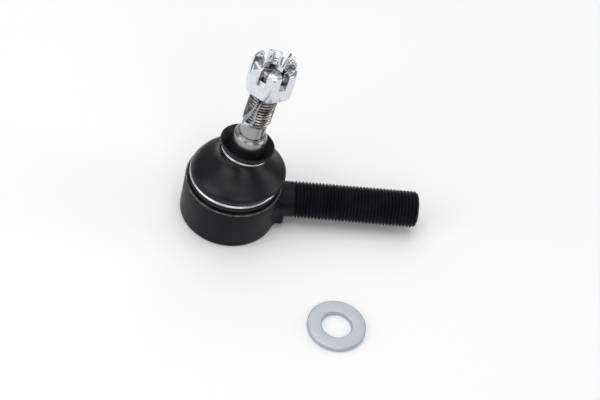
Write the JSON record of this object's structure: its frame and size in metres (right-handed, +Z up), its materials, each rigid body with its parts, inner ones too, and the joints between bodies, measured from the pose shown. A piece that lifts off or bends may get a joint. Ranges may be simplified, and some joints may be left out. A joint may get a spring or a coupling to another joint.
{
  "type": "tie rod end",
  "caption": "Steering tie rod end with a threaded shank, a leaning ball stud in a rubber boot, a castle nut, a split pin and a loose washer.",
  "frame": {"origin": "centre of the ball, about which the stud swings", "axes": "+Z up along the round housing's axis, +X along the threaded shank, which lies 6 mm below the origin"},
  "size_m": [0.103, 0.1073, 0.0867],
  "materials": {
    "black_coat": "satin black coat over forged steel, fine speckle, bare metal showing at the rim",
    "seat_plastic": "moulded bearing plastic, ivory",
    "spring_steel": "oiled spring steel",
    "cover_steel": "zinc plated pressed steel",
    "stud_steel": "turned and ground steel, rolled thread",
    "boot_rubber": "smooth satin black rubber",
    "ring_wire": "bright spring wire",
    "bright_zinc": "bright zinc plating with a faint blue cast",
    "pin_zinc": "zinc plated soft steel wire"
  },
  "bodies": {
    "housing_group": {"housing": "black_coat", "upper_seat": "seat_plastic", "lower_seat": "seat_plastic", "disc_spring": "spring_steel", "cover_plate": "cover_steel", "lower_ring": "ring_wire"},
    "boot": {"dust_boot": "boot_rubber"},
    "boot_top": {"upper_ring": "ring_wire"},
    "stud": {"ball_stud": "stud_steel"},
    "nut": {"castle_nut": "bright_zinc"},
    "pin": {"split_pin": "pin_zinc"},
    "washer": {"washer": "bright_zinc"}
  },
  "joints": [
    {"name": "stud_swing_side", "type": "hinge", "parent": "housing_group", "child": "boot", "pos_m": [0, 0, 0], "axis": [1, 0, 0], "range_deg": [-8.8, 23.2], "deforming": ["dust_boot"]},
    {"name": "stud_swing_along", "type": "hinge", "parent": "boot", "child": "boot_top", "pos_m": [0, 0, 0], "axis": [0, 0.9921, -0.1253], "range_deg": [-23, 9], "deforming": ["dust_boot"]},
    {"name": "stud_turn", "type": "hinge", "parent": "boot_top", "child": "stud", "pos_m": [0, 0, 0], "axis": [0.1219, 0.1244, 0.9847], "continuous": true},
    {"name": "nut_turn", "type": "hinge", "parent": "stud", "child": "nut", "pos_m": [0.00707, 0.00722, 0.05711], "axis": [0.1219, 0.1244, 0.9847], "continuous": true},
    {"name": "pin_pull", "type": "slide", "parent": "stud", "child": "pin", "axis": [-0.3718, -0.9142, 0.1615], "range_m": [-0.006, 0.042]},
    {"name": "washer_lift", "type": "slide", "parent": "housing_group", "child": "washer", "axis": [0, 0, 1], "range_m": [0, 0.03]}
  ]
}
